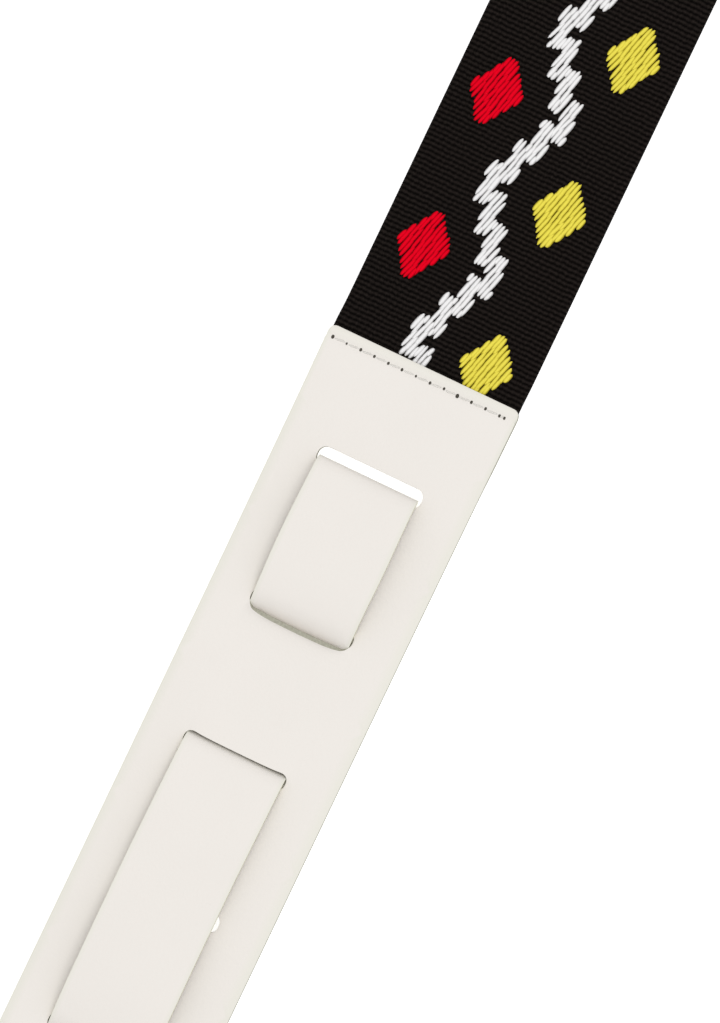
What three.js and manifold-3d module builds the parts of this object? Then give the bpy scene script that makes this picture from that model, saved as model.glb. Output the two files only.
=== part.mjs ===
// Guitar strap with an adjustable leather end.
//
// A patterned webbing is sewn into a two-ply leather ladder at one end and into a two-ply
// leather tab at the other. A narrow leather tail weaves through the ladder's slots and
// widens into a paddle. The paddle and the tab each button onto the instrument.
//
// Millimetres. The strap lies straight and face up on z = 0, along X, with the paddle at
// the -X end, the tab at the +X end and the origin under the middle of its whole length.
// Each leather end is drawn in its own frame: x runs from the seam edge into the leather.

import * as THREE from "three";
import { mergeVertices } from "three/addons/utils/BufferGeometryUtils.js";
import Module from "manifold-3d";

const wasm = await Module();
wasm.setup();

// ---- Driving dimensions ----

// Webbing: 2 inch jacquard ribbon, shown as flat links that bend at hinge lines.
const WEBBING_WIDTH = 50.8;
const WEBBING_THICKNESS = 1.6;
const EXPOSED_WEBBING = 560;
const WEBBING_LINKS = 6;
const SELVEDGE_BEVEL = 0.4;
const HINGE_GAP = 1.0;
const SEAM_TO_HINGE = 12;

// Leather plies. Neighbouring plies are drawn this far apart.
const LEATHER_OVERHANG = 0.4;
const FACE_THICKNESS = 1.1;
const LINING_THICKNESS = 0.9;
const PLY_GAP = 0.3;
const SEAM_LIFT = 0.4;

// Seam: the webbing lies between the plies, held by one row of lockstitch.
const SEAM_OVERLAP = 14;
const SEAM_SLOPE = 8;
const SEAM_CORNER = 1.8;
const PLY_STEP = 9;
const STITCH_INSET = 3.0;
const STITCH_PITCH = 3.8;
const STITCH_SIDE_MARGIN = 2.0;
const THREAD_WIDTH = 0.6;
const THREAD_THICKNESS = 0.5;
const THREAD_CLEARANCE = 0.3;
const GROOVE_DEPTH = 0.6;

// Ladder: a row of slots across the two plies.
const SLOT_COUNT = 9;
const SLOT_PITCH = 38.5;
const SLOT_SETBACK = 7.0;
const SLOT_CORNER = 1.4;
const SLOT_CORNER_LIMIT = 0.45;
const LADDER_END_MARGIN = 24;
const LADDER_END_CORNER = 10;

// Tail: a narrow strip that goes over and under the ladder.
const TAIL_WIDTH = 27;
const TAIL_THICKNESS = 2.0;
const TAIL_SIDE_CLEARANCE = 0.8;
const TAIL_CLEARANCE = 0.3;
const SLOT_CLEARANCE = 0.63;
const STEEP_ANGLE = THREE.MathUtils.degToRad(60);
const INNER_BEND = 1.5;
const TIP_HEIGHT = 0.3;
const TIP_RISE = THREE.MathUtils.degToRad(10);
const SHORT_ARCH = THREE.MathUtils.degToRad(15);
const LONG_ARCH = THREE.MathUtils.degToRad(4);
const TAIL_PAST_LADDER = 20;

// Slots used by the tail, counted from the seam: tip in, down, up, down.
const TIP_SLOT = 0;
const DOWN_SLOT = 1;
const UP_SLOT = 2;
const LAST_SLOT = 4;

// Paddle and tab, each with a round button hole and a slit.
const PADDLE_WIDTH = 50.8;
const PADDLE_NECK = 12;
const PADDLE_FLARE = 32;
const PADDLE_BODY = 34;
const TAB_LENGTH = 105;
const TIP_FLAT = 0.02;
const BUTTON_HOLE_RADIUS = 4.2;
const BUTTON_HOLE_FROM_TIP = 19;
const BUTTON_SLIT_LENGTH = 11;
const BUTTON_SLIT_WIDTH = 1.4;

// How far a cutting tool runs past the surfaces that it cuts.
const CUT_MARGIN = 1;

// Length of an arch's handles, as a share of its span.
const ARCH_HANDLE = 1 / 3;

// Facets on curved stretches.
const ARC_FACETS = 5;
const PADDLE_FACETS = 10;
const STEP_FACETS = 6;
const ARCH_FACETS = 14;
const BEND_FACETS = 6;
const THREAD_SIDES = 6;

// ---- Sizes that follow ----

const leatherWidth = WEBBING_WIDTH + 2 * LEATHER_OVERHANG;
const linkLength = (EXPOSED_WEBBING - 2 * SEAM_TO_HINGE) / WEBBING_LINKS;

const underTail = TAIL_THICKNESS + TAIL_CLEARANCE + LINING_THICKNESS + PLY_GAP;
const underSeam = SEAM_LIFT + LINING_THICKNESS + PLY_GAP + WEBBING_THICKNESS + PLY_GAP;
const faceBottom = Math.max(underTail, underSeam);
const faceTop = faceBottom + FACE_THICKNESS;
const ladderLiningBottom = faceBottom - PLY_GAP - LINING_THICKNESS;
const ladderMiddle = (ladderLiningBottom + faceTop) / 2;
const ladderThickness = faceTop - ladderLiningBottom;

const seamWebbingBottom = faceBottom - PLY_GAP - WEBBING_THICKNESS;
const seamLiningBottom = seamWebbingBottom - PLY_GAP - LINING_THICKNESS;
const tabFaceBottom = seamLiningBottom + LINING_THICKNESS + PLY_GAP;

const stepStart = SEAM_OVERLAP + PLY_GAP;
const stepEnd = stepStart + PLY_STEP;
const firstSlot = stepEnd + SLOT_SETBACK;
const slotOpening =
  TAIL_THICKNESS / Math.sin(STEEP_ANGLE) +
  ladderThickness / Math.tan(STEEP_ANGLE) +
  2 * SLOT_CLEARANCE;
const slotWidth = TAIL_WIDTH + 2 * TAIL_SIDE_CLEARANCE;
const slotCorner = Math.min(SLOT_CORNER, slotOpening * SLOT_CORNER_LIMIT);
const ladderLength = slotAt(SLOT_COUNT - 1) + LADDER_END_MARGIN;

const bendRadius = TAIL_THICKNESS / 2 + INNER_BEND;
const tailHinge = ladderLength + TAIL_PAST_LADDER;
const paddleLength = PADDLE_NECK + PADDLE_FLARE + PADDLE_BODY + PADDLE_WIDTH / 2;

// The whole strap is centred on the origin.
const wholeLength = tailHinge + paddleLength + EXPOSED_WEBBING + TAB_LENGTH;
const ladderSeam = tailHinge + paddleLength - wholeLength / 2;
const tabSeam = ladderSeam + EXPOSED_WEBBING;

function slotAt(index) {
  return firstSlot + index * SLOT_PITCH;
}

// ---- Materials ----

const leather = new THREE.MeshStandardMaterial({ color: 0xebe6df, roughness: 0.62, metalness: 0 });
const suede = new THREE.MeshStandardMaterial({ color: 0xdedbcd, roughness: 0.85, metalness: 0 });
const webbing = new THREE.MeshStandardMaterial({ color: 0x171311, roughness: 0.9, metalness: 0 });
const thread = new THREE.MeshStandardMaterial({ color: 0xd8d6d0, roughness: 0.6, metalness: 0 });

// ---- Shape helpers ----

// A closed mesh as a manifold-3d solid.
function toSolid(geometry) {
  const bare = geometry.clone();
  bare.deleteAttribute("normal");
  bare.deleteAttribute("uv");
  const merged = mergeVertices(bare, 1e-5);
  const mesh = new wasm.Mesh({
    numProp: 3,
    vertProperties: new Float32Array(merged.attributes.position.array),
    triVerts: new Uint32Array(merged.index.array),
  });
  return new wasm.Manifold(mesh);
}

// A manifold-3d solid as a mesh.
function toGeometry(solid) {
  const mesh = solid.getMesh();
  const geometry = new THREE.BufferGeometry();
  geometry.setAttribute("position", new THREE.BufferAttribute(mesh.vertProperties, 3));
  geometry.setIndex(new THREE.BufferAttribute(mesh.triVerts, 1));
  geometry.computeVertexNormals();
  return geometry;
}

function piece(name, geometry, material) {
  const mesh = new THREE.Mesh(geometry, material);
  mesh.name = name;
  return mesh;
}

// A plan outline (x, y) made solid from z = bottom to z = bottom + thickness.
function plate(outline, bottom, thickness) {
  const geometry = new THREE.ExtrudeGeometry(outline, {
    depth: thickness,
    bevelEnabled: false,
    curveSegments: ARC_FACETS,
  });
  return geometry.translate(0, 0, bottom);
}

// A side outline (x, z) made solid across the width, centred on y = 0.
function acrossWidth(outline, width) {
  const geometry = new THREE.ExtrudeGeometry(outline, { depth: width, bevelEnabled: false });
  return geometry.rotateX(Math.PI / 2).translate(0, width / 2, 0);
}

function box(from, to) {
  const size = to.clone().sub(from);
  const centre = from.clone().add(to).multiplyScalar(0.5);
  return new THREE.BoxGeometry(size.x, size.y, size.z).translate(centre.x, centre.y, centre.z);
}

// Half a cosine wave from height a at x = from to height b at x = to, flat outside.
function softStep(x, from, to, a, b) {
  const share = THREE.MathUtils.clamp((x - from) / (to - from), 0, 1);
  return a + (b - a) * (1 - Math.cos(Math.PI * share)) / 2;
}

// Side view of a sheet from x = start to x = end, with one step in its height.
function steppedSheet(start, end, thickness, step) {
  const stations = [start];
  for (let i = 0; i <= STEP_FACETS; i++) {
    stations.push(step.from + (step.to - step.from) * i / STEP_FACETS);
  }
  stations.push(end);
  const low = stations.map(
    (x) => new THREE.Vector2(x, softStep(x, step.from, step.to, step.before, step.after)),
  );
  const high = low.map((p) => new THREE.Vector2(p.x, p.y + thickness)).reverse();
  return new THREE.Shape([...low, ...high]);
}

// A rectangle from x = start to x = end with its corners rounded, one radius at each end.
function roundedBar(start, end, width, startRadius, endRadius) {
  const half = width / 2;
  const shape = new THREE.Shape();
  shape.moveTo(start + startRadius, -half);
  shape.absarc(end - endRadius, -half + endRadius, endRadius, -Math.PI / 2, 0);
  shape.absarc(end - endRadius, half - endRadius, endRadius, 0, Math.PI / 2);
  shape.absarc(start + startRadius, half - startRadius, startRadius, Math.PI / 2, Math.PI);
  shape.absarc(start + startRadius, -half + startRadius, startRadius, Math.PI, Math.PI * 1.5);
  return shape;
}

// A button hole: a round hole with a slit that runs back from it, away from the tip.
function buttonHole(x) {
  const hole = new THREE.Path();
  const half = BUTTON_SLIT_WIDTH / 2;
  const open = Math.PI - Math.asin(half / BUTTON_HOLE_RADIUS);
  hole.absarc(x, 0, BUTTON_HOLE_RADIUS, -open, open);
  hole.lineTo(x - BUTTON_SLIT_LENGTH, half);
  hole.lineTo(x - BUTTON_SLIT_LENGTH, -half);
  hole.closePath();
  return hole;
}

// ---- Seams ----

// Places of the needle holes across the width.
function stitchHoles() {
  const usable = leatherWidth - 2 * STITCH_SIDE_MARGIN;
  const spaces = Math.floor(usable / STITCH_PITCH);
  return Array.from({ length: spaces + 1 }, (_, i) => (i - spaces / 2) * STITCH_PITCH);
}

// One thin upright rod at every needle hole, joined into one list.
function stitchRods(radius, bottom, top) {
  return stitchHoles().map((y) => {
    const rod = new THREE.CylinderGeometry(radius, radius, top - bottom, THREAD_SIDES);
    return rod.rotateX(Math.PI / 2).translate(STITCH_INSET, y, (bottom + top) / 2);
  });
}

function drillStitches(solid) {
  const radius = THREAD_WIDTH / 2 + THREAD_CLEARANCE;
  return stitchRods(radius, -CUT_MARGIN, faceTop + CUT_MARGIN).reduce(
    (left, rod) => left.subtract(toSolid(rod)),
    solid,
  );
}

// The groove that the row of stitches sinks into.
function stitchGroove(bottom, top) {
  const reach = stitchHoles().at(-1) + THREAD_WIDTH / 2 + THREAD_CLEARANCE;
  const half = THREAD_WIDTH / 2 + THREAD_CLEARANCE;
  return toSolid(box(
    new THREE.Vector3(STITCH_INSET - half, -reach, bottom),
    new THREE.Vector3(STITCH_INSET + half, reach, top),
  ));
}

// A thread: a straight run across the seam with a leg down or up each needle hole.
function seamThread(runBottom, legBottom, legTop) {
  const reach = stitchHoles().at(-1) + THREAD_WIDTH / 2;
  const half = THREAD_WIDTH / 2;
  const run = toSolid(box(
    new THREE.Vector3(STITCH_INSET - half, -reach, runBottom),
    new THREE.Vector3(STITCH_INSET + half, reach, runBottom + THREAD_THICKNESS),
  ));
  const legs = stitchRods(THREAD_WIDTH / 2, legBottom, legTop);
  return toGeometry(legs.reduce((joined, leg) => joined.add(toSolid(leg)), run));
}

// The needle thread lies on the face and the bobbin thread under the lining; they meet
// in the middle of the webbing.
function seamThreads(prefix) {
  const knot = seamWebbingBottom + WEBBING_THICKNESS / 2;
  const needleRun = faceTop - GROOVE_DEPTH + THREAD_CLEARANCE;
  const needle = seamThread(needleRun, knot + THREAD_CLEARANCE / 2, needleRun + THREAD_THICKNESS / 2);
  const bobbinRun = bobbinGrooveTop() - THREAD_CLEARANCE - THREAD_THICKNESS;
  const bobbin = seamThread(bobbinRun, bobbinRun + THREAD_THICKNESS / 2, knot - THREAD_CLEARANCE / 2);
  return [
    piece(`${prefix}_needle_thread`, needle, thread),
    piece(`${prefix}_bobbin_thread`, bobbin, thread),
  ];
}

function bobbinGrooveTop() {
  return Math.max(seamLiningBottom, THREAD_CLEARANCE + THREAD_THICKNESS);
}

// The last stretch of webbing: between the plies, then sloping down to the surface.
function seamWebbing(name) {
  const side = steppedSheet(-SEAM_TO_HINGE + HINGE_GAP / 2, SEAM_OVERLAP, WEBBING_THICKNESS, {
    from: -SEAM_SLOPE - PLY_GAP,
    to: -PLY_GAP,
    before: 0,
    after: seamWebbingBottom,
  });
  const solid = drillStitches(toSolid(acrossWidth(side, WEBBING_WIDTH)));
  return piece(name, toGeometry(solid), webbing);
}

// The face and lining plies of one end, cut from one outline; either may step in height.
function faceAndLining(prefix, outline, length, face, lining) {
  const cut = toSolid(plate(outline, -CUT_MARGIN, faceTop + 2 * CUT_MARGIN));
  const sheet = (thickness, step) => toSolid(acrossWidth(
    steppedSheet(-CUT_MARGIN, length + CUT_MARGIN, thickness, step),
    leatherWidth + 2 * CUT_MARGIN,
  ));
  const faceSheet = sheet(FACE_THICKNESS, face).intersect(cut);
  const liningSheet = sheet(LINING_THICKNESS, lining).intersect(cut);
  const facePly = drillStitches(faceSheet).subtract(
    stitchGroove(faceTop - GROOVE_DEPTH, faceTop + CUT_MARGIN),
  );
  const liningPly = drillStitches(liningSheet).subtract(
    stitchGroove(-CUT_MARGIN, bobbinGrooveTop()),
  );
  return [
    piece(`${prefix}_face`, toGeometry(facePly), leather),
    piece(`${prefix}_lining`, toGeometry(liningPly), suede),
  ];
}

// ---- Ladder end ----

function ladderOutline() {
  const outline = roundedBar(0, ladderLength, leatherWidth, SEAM_CORNER, LADDER_END_CORNER);
  for (let i = 0; i < SLOT_COUNT; i++) {
    const middle = slotAt(i);
    const from = middle - slotOpening / 2;
    const to = middle + slotOpening / 2;
    outline.holes.push(roundedBar(from, to, slotWidth, slotCorner, slotCorner));
  }
  return outline;
}

// The lining is set down at the seam, to go under the webbing, and flat along the ladder.
function ladderPlies() {
  const flat = { from: stepStart, to: stepEnd, before: faceBottom, after: faceBottom };
  const raised = {
    from: stepStart,
    to: stepEnd,
    before: seamLiningBottom,
    after: ladderLiningBottom,
  };
  return faceAndLining("ladder", ladderOutline(), ladderLength, flat, raised);
}

// ---- Tail ----

// The tail's middle line in side view, drawn from its tip as a pen that holds a heading.
class SidePath {
  constructor(x, z, heading) {
    this.points = [{ x, z, heading }];
  }

  get end() {
    return this.points.at(-1);
  }

  straight(length) {
    const { x, z, heading } = this.end;
    this.points.push({ x: x + length * Math.cos(heading), z: z + length * Math.sin(heading), heading });
    return this;
  }

  // Turns to a new heading round an arc of the tail's bend radius.
  turnTo(heading) {
    const start = this.end;
    const side = Math.sign(heading - start.heading);
    const centreX = start.x - side * bendRadius * Math.sin(start.heading);
    const centreZ = start.z + side * bendRadius * Math.cos(start.heading);
    for (let i = 1; i <= BEND_FACETS; i++) {
      const angle = start.heading + (heading - start.heading) * i / BEND_FACETS;
      this.points.push({
        x: centreX + side * bendRadius * Math.sin(angle),
        z: centreZ - side * bendRadius * Math.cos(angle),
        heading: angle,
      });
    }
    return this;
  }

  // A smooth arch to a point and heading.
  archTo(x, z, heading) {
    const start = this.end;
    const reach = (x - start.x) * ARCH_HANDLE;
    const curve = new THREE.CubicBezierCurve(
      new THREE.Vector2(start.x, start.z),
      new THREE.Vector2(start.x + reach, start.z + reach * Math.tan(start.heading)),
      new THREE.Vector2(x - reach, z - reach * Math.tan(heading)),
      new THREE.Vector2(x, z),
    );
    for (let i = 1; i <= ARCH_FACETS; i++) {
      const point = curve.getPoint(i / ARCH_FACETS);
      const along = curve.getTangent(i / ARCH_FACETS);
      this.points.push({ x: point.x, z: point.y, heading: Math.atan2(along.y, along.x) });
    }
    return this;
  }

  // The line thickened evenly to both sides.
  thicken(thickness) {
    const half = thickness / 2;
    const offset = (side) => this.points.map(({ x, z, heading }) => new THREE.Vector2(
      x - side * half * Math.sin(heading),
      z + side * half * Math.cos(heading),
    ));
    return new THREE.Shape([...offset(-1), ...offset(1).reverse()]);
  }
}

// Half the straight slanting stretch inside a slot, along the tail.
const steepHalf =
  (ladderMiddle - TAIL_THICKNESS / 2 - bendRadius * (1 - Math.cos(STEEP_ANGLE))) / Math.sin(STEEP_ANGLE);

// From a slot's middle to where the bend over the ladder leaves off, level to slope.
function overBend(slope) {
  const across = steepHalf * Math.cos(STEEP_ANGLE) +
    bendRadius * (Math.sin(STEEP_ANGLE) - Math.sin(slope));
  const up = steepHalf * Math.sin(STEEP_ANGLE) +
    bendRadius * (Math.cos(slope) - Math.cos(STEEP_ANGLE));
  return { across, up };
}

// From a slot's middle to where the bend under the ladder leaves off.
const underBend = overBend(0).across;

function tailPath() {
  const floor = TAIL_THICKNESS / 2;
  const short = overBend(SHORT_ARCH);
  const long = overBend(LONG_ARCH);
  const tipX = slotAt(TIP_SLOT) + slotOpening / 2 - TAIL_CLEARANCE - TAIL_THICKNESS / 2;
  const path = new SidePath(tipX, TIP_HEIGHT, Math.PI / 2);
  path.straight(faceTop - TIP_HEIGHT).turnTo(TIP_RISE);
  path.archTo(slotAt(DOWN_SLOT) - short.across, ladderMiddle + short.up, -SHORT_ARCH);
  path.turnTo(-STEEP_ANGLE).straight(2 * steepHalf).turnTo(0);
  path.archTo(slotAt(UP_SLOT) - underBend, floor, 0);
  path.turnTo(STEEP_ANGLE).straight(2 * steepHalf).turnTo(LONG_ARCH);
  path.archTo(slotAt(LAST_SLOT) - long.across, ladderMiddle + long.up, -LONG_ARCH);
  path.turnTo(-STEEP_ANGLE).straight(2 * steepHalf).turnTo(0);
  return path;
}

function tailPieces() {
  const path = tailPath();
  const weave = acrossWidth(path.thicken(TAIL_THICKNESS), TAIL_WIDTH);
  const run = box(
    new THREE.Vector3(path.end.x + PLY_GAP, -TAIL_WIDTH / 2, 0),
    new THREE.Vector3(tailHinge - HINGE_GAP / 2, TAIL_WIDTH / 2, TAIL_THICKNESS),
  );
  return [piece("tail_weave", weave, leather), piece("tail_run", run, leather)];
}

// The neck flares from the tail's width to the paddle's, which ends in a half round.
function paddlePiece() {
  const neck = TAIL_WIDTH / 2;
  const half = PADDLE_WIDTH / 2;
  const start = tailHinge + HINGE_GAP / 2;
  const flareStart = tailHinge + PADDLE_NECK;
  const flareEnd = flareStart + PADDLE_FLARE;
  const flareMiddle = (flareStart + flareEnd) / 2;
  const roundCentre = tailHinge + paddleLength - half;
  const outline = new THREE.Shape();
  outline.moveTo(start, -neck);
  outline.lineTo(flareStart, -neck);
  outline.bezierCurveTo(flareMiddle, -neck, flareMiddle, -half, flareEnd, -half);
  outline.absarc(roundCentre, 0, half, -Math.PI / 2, Math.PI / 2);
  outline.lineTo(flareEnd, half);
  outline.bezierCurveTo(flareMiddle, half, flareMiddle, neck, flareStart, neck);
  outline.lineTo(start, neck);
  outline.holes.push(buttonHole(tailHinge + paddleLength - BUTTON_HOLE_FROM_TIP));
  const geometry = new THREE.ExtrudeGeometry(outline, {
    depth: TAIL_THICKNESS,
    bevelEnabled: false,
    curveSegments: PADDLE_FACETS,
  });
  return piece("paddle", geometry, leather);
}

// ---- Tab end ----

function tabOutline() {
  const tipRadius = (leatherWidth - TIP_FLAT) / 2;
  const outline = roundedBar(0, TAB_LENGTH, leatherWidth, SEAM_CORNER, tipRadius);
  outline.holes.push(buttonHole(TAB_LENGTH - BUTTON_HOLE_FROM_TIP));
  return outline;
}

// The face is set down past the webbing's end, and the lining lies flat.
function tabPlies() {
  const lowered = { from: stepStart, to: stepEnd, before: faceBottom, after: tabFaceBottom };
  const flat = {
    from: stepStart,
    to: stepEnd,
    before: seamLiningBottom,
    after: seamLiningBottom,
  };
  return faceAndLining("tab", tabOutline(), TAB_LENGTH, lowered, flat);
}

// ---- Webbing links ----

function webbingLink(index) {
  const half = WEBBING_WIDTH / 2;
  const section = new THREE.Shape([
    new THREE.Vector2(-half + SELVEDGE_BEVEL, 0),
    new THREE.Vector2(half - SELVEDGE_BEVEL, 0),
    new THREE.Vector2(half, SELVEDGE_BEVEL),
    new THREE.Vector2(half, WEBBING_THICKNESS - SELVEDGE_BEVEL),
    new THREE.Vector2(half - SELVEDGE_BEVEL, WEBBING_THICKNESS),
    new THREE.Vector2(-half + SELVEDGE_BEVEL, WEBBING_THICKNESS),
    new THREE.Vector2(-half, WEBBING_THICKNESS - SELVEDGE_BEVEL),
    new THREE.Vector2(-half, SELVEDGE_BEVEL),
  ]);
  const geometry = new THREE.ExtrudeGeometry(section, {
    depth: linkLength - HINGE_GAP,
    bevelEnabled: false,
  });
  geometry.rotateX(Math.PI / 2).rotateZ(Math.PI / 2);
  const link = piece(`webbing_${index + 1}`, geometry, webbing);
  link.position.x = ladderSeam + SEAM_TO_HINGE + index * linkLength + HINGE_GAP / 2;
  return link;
}

// ---- Assembly ----

const strap = new THREE.Group();

const ladderEnd = new THREE.Group();
ladderEnd.position.x = ladderSeam;
ladderEnd.rotation.z = Math.PI;
ladderEnd.add(...ladderPlies(), seamWebbing("ladder_webbing_end"), ...seamThreads("ladder"));
ladderEnd.add(...tailPieces(), paddlePiece());
strap.add(ladderEnd);

for (let i = 0; i < WEBBING_LINKS; i++) {
  strap.add(webbingLink(i));
}

const tabEnd = new THREE.Group();
tabEnd.position.x = tabSeam;
tabEnd.add(...tabPlies(), seamWebbing("tab_webbing_end"), ...seamThreads("tab"));
strap.add(tabEnd);

export default strap;
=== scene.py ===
import math

import bmesh
import bpy
import numpy as np
from mathutils import Matrix, Vector


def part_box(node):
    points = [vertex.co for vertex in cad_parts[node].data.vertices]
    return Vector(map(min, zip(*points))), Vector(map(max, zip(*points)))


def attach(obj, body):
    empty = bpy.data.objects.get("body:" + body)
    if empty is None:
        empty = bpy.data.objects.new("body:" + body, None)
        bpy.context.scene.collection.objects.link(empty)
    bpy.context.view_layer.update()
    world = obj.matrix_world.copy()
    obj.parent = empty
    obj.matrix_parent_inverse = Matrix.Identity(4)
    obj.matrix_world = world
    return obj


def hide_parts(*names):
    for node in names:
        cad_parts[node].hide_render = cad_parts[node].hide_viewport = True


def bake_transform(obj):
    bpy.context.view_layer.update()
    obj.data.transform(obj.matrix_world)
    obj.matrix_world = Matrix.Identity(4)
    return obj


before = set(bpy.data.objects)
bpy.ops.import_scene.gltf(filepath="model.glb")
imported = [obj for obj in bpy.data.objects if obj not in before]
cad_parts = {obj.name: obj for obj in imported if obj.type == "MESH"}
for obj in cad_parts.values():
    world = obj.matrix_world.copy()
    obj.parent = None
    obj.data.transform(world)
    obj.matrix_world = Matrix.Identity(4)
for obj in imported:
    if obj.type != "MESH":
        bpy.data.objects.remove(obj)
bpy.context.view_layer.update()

# ---------------------------------------------------------------------------------------
# Studio: a bright white table, a big soft light overhead and even light all round.
# The camera looks down a long lens at the seam and the first slots, a little from one side.

mm = 0.001
seam_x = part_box("ladder_face")[1][0]
table_size = 40.0
table_drop = 0.3 * mm
table_glow = 0.55
view_height = 251.4 * mm
view_distance = 1.1
view_side = 0.65 * mm
view_past_seam = 39.2 * mm
view_rise = 4 * mm
view_lean = math.radians(25.55)
view_tilt = math.radians(5)
sensor_width = 36
key_offset = Vector((0.1, -0.3, 1.4))
key_size = 1.1
key_power = 6.5
even_light_strength = 0.8


def node(tree, kind, inputs=(), **settings):
    """Adds a shader node; inputs maps a socket's name or number to a value or another socket."""
    made = tree.nodes.new(kind)
    for name, value in settings.items():
        setattr(made, name, value)
    for name, value in dict(inputs).items():
        if isinstance(value, bpy.types.NodeSocket):
            tree.links.new(value, made.inputs[name])
        else:
            made.inputs[name].default_value = value
    return made


def finish(name, colour, roughness, **sockets):
    """A surface finish: returns the material, its node tree and its principled shader."""
    material = bpy.data.materials.new(name)
    material.use_nodes = True
    shader = material.node_tree.nodes["Principled BSDF"]
    shader.inputs["Base Color"].default_value = (*colour, 1)
    shader.inputs["Roughness"].default_value = roughness
    for socket, value in sockets.items():
        shader.inputs[socket.replace("_", " ")].default_value = value
    return material, material.node_tree, shader


def mesh_object(name, points, faces, materials):
    """An object at the origin from an array of points and an array of four-cornered faces."""
    mesh = bpy.data.meshes.new(name)
    mesh.from_pydata(points.tolist(), [], faces.tolist())
    mesh.polygons.foreach_set("use_smooth", np.ones(len(faces), bool))
    for material in materials:
        mesh.materials.append(material)
    made = bpy.data.objects.new(name, mesh)
    bpy.context.scene.collection.objects.link(made)
    return made


def give_uv(thing, name, values):
    """A UV map from one pair of values for every point."""
    mesh = thing.data
    corners = np.empty(len(mesh.loops), np.int32)
    mesh.loops.foreach_get("vertex_index", corners)
    layer = mesh.uv_layers.new(name=name)
    layer.data.foreach_set("uv", values[corners].astype(np.float32).ravel())


table_white, tree, shader = finish("table_white", (0.9, 0.9, 0.9), 0.8)
shader.inputs["Emission Color"].default_value = (1, 1, 1, 1)
shader.inputs["Emission Strength"].default_value = table_glow
half = table_size / 2
corners = np.array([[-half, -half], [half, -half], [half, half], [-half, half]])
table = mesh_object(
    "table", np.column_stack([corners, np.full(4, -table_drop)]), np.array([[0, 1, 2, 3]]), [table_white]
)
table.visible_diffuse = False

camera = bpy.data.objects.new("camera", bpy.data.cameras.new("camera"))
bpy.context.scene.collection.objects.link(camera)
bpy.context.scene.camera = camera
camera.data.sensor_width = sensor_width
camera.data.lens = sensor_width * view_distance / view_height
camera.data.clip_start = 0.05
camera.data.clip_end = 60
right = Vector((math.sin(view_lean), -math.cos(view_lean), 0))
up = Vector((math.cos(view_lean), math.sin(view_lean), 0))
view_centre = Vector((seam_x - view_past_seam, 0, view_rise)) + view_side * right
turn = Matrix((right, up, Vector((0, 0, 1)))).transposed().to_4x4()
tilt = Matrix.Rotation(view_tilt, 4, "X")
camera.matrix_world = (
    Matrix.Translation(view_centre) @ tilt @ Matrix.Translation((0, 0, view_distance)) @ turn
)

key_place = view_centre + key_offset
key = bpy.data.objects.new("key_light", bpy.data.lights.new("key_light", "AREA"))
bpy.context.scene.collection.objects.link(key)
key.data.shape = "SQUARE"
key.data.size = key_size
key.data.energy = key_power
key.location = key_place
key.rotation_euler = (key_place - view_centre).to_track_quat("Z", "Y").to_euler()

world = bpy.data.worlds.new("even_light")
bpy.context.scene.world = world
world.use_nodes = True
world.node_tree.nodes["Background"].inputs["Color"].default_value = (1, 1, 1, 1)
world.node_tree.nodes["Background"].inputs["Strength"].default_value = even_light_strength
bpy.context.scene.view_settings.view_transform = "Standard"

# ---------------------------------------------------------------------------------------
# Webbing: one black ribbon, woven in ribs across its width from warp yarns packed side by
# side. Its two ends are sewn between leather plies. It is made in lengths that each span
# one fold line and meet in the middle of the flat links.

tab_seam_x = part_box("tab_face")[0][0]
web_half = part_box("webbing_1")[1][1]
web_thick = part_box("webbing_1")[1][2]
seam_to_hinge = 12 * mm
seam_hinge = seam_x + seam_to_hinge
seam_web_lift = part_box("ladder_webbing_end")[1][2] - web_thick
seam_slope = 8 * mm
ply_gap = 0.3 * mm
seam_overlap = 14 * mm
links = 6
link_length = (tab_seam_x - seam_x - 2 * seam_to_hinge) / links
motif_length = 42 * mm
motif_ribs = 34
rib_pitch = motif_length / motif_ribs
warp_ends = 61
end_pitch = 2 * web_half / warp_ends
rib_height = 0.24 * mm
end_height = 0.12 * mm
rib_fullness = 0.6
back_rib_height = 0.1 * mm
selvedge_round = 1.2 * mm
broad_stray = 0.05 * mm
fine_stray = 0.045 * mm
rib_samples = 4
back_samples = 28
bend_reach = 30 * mm
seam_bend_reach = 10.5 * mm

black_yarn, tree, shader = finish(
    "black_yarn", (0.0095, 0.0075, 0.0062), 0.9, Specular_IOR_Level=0.04
)
weave = node(tree, "ShaderNodeUVMap", uv_map="weave")
parts = node(tree, "ShaderNodeSeparateXYZ", {0: weave.outputs[0]})
row = node(tree, "ShaderNodeMath", {0: parts.outputs[0]}, operation="FLOOR")
shift = node(tree, "ShaderNodeMath", {0: row.outputs[0], 1: 0.5}, operation="MULTIPLY")
brick = node(tree, "ShaderNodeMath", {0: parts.outputs[1], 1: shift.outputs[0]}, operation="ADD")
across = node(tree, "ShaderNodeMath", {0: brick.outputs[0], 1: 1.0}, operation="PINGPONG")
along = node(tree, "ShaderNodeMath", {0: parts.outputs[0], 1: 0.5}, operation="PINGPONG")
lump = node(tree, "ShaderNodeMath", {0: across.outputs[0], 1: along.outputs[0]}, operation="ADD")
strands = node(
    tree, "ShaderNodeTexWave", {"Vector": weave.outputs[0], "Scale": 2.2, "Distortion": 2.0},
    bands_direction="Y",
)
stray = node(tree, "ShaderNodeTexNoise", {"Vector": weave.outputs[0], "Scale": 1.7, "Detail": 5.0})
relief = node(
    tree, "ShaderNodeMath", {0: strands.outputs[1], 1: 0.3, 2: lump.outputs[0]},
    operation="MULTIPLY_ADD",
)
bump = node(
    tree, "ShaderNodeBump", {"Height": relief.outputs[0], "Strength": 0.55, "Distance": 0.12 * mm}
)
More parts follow.
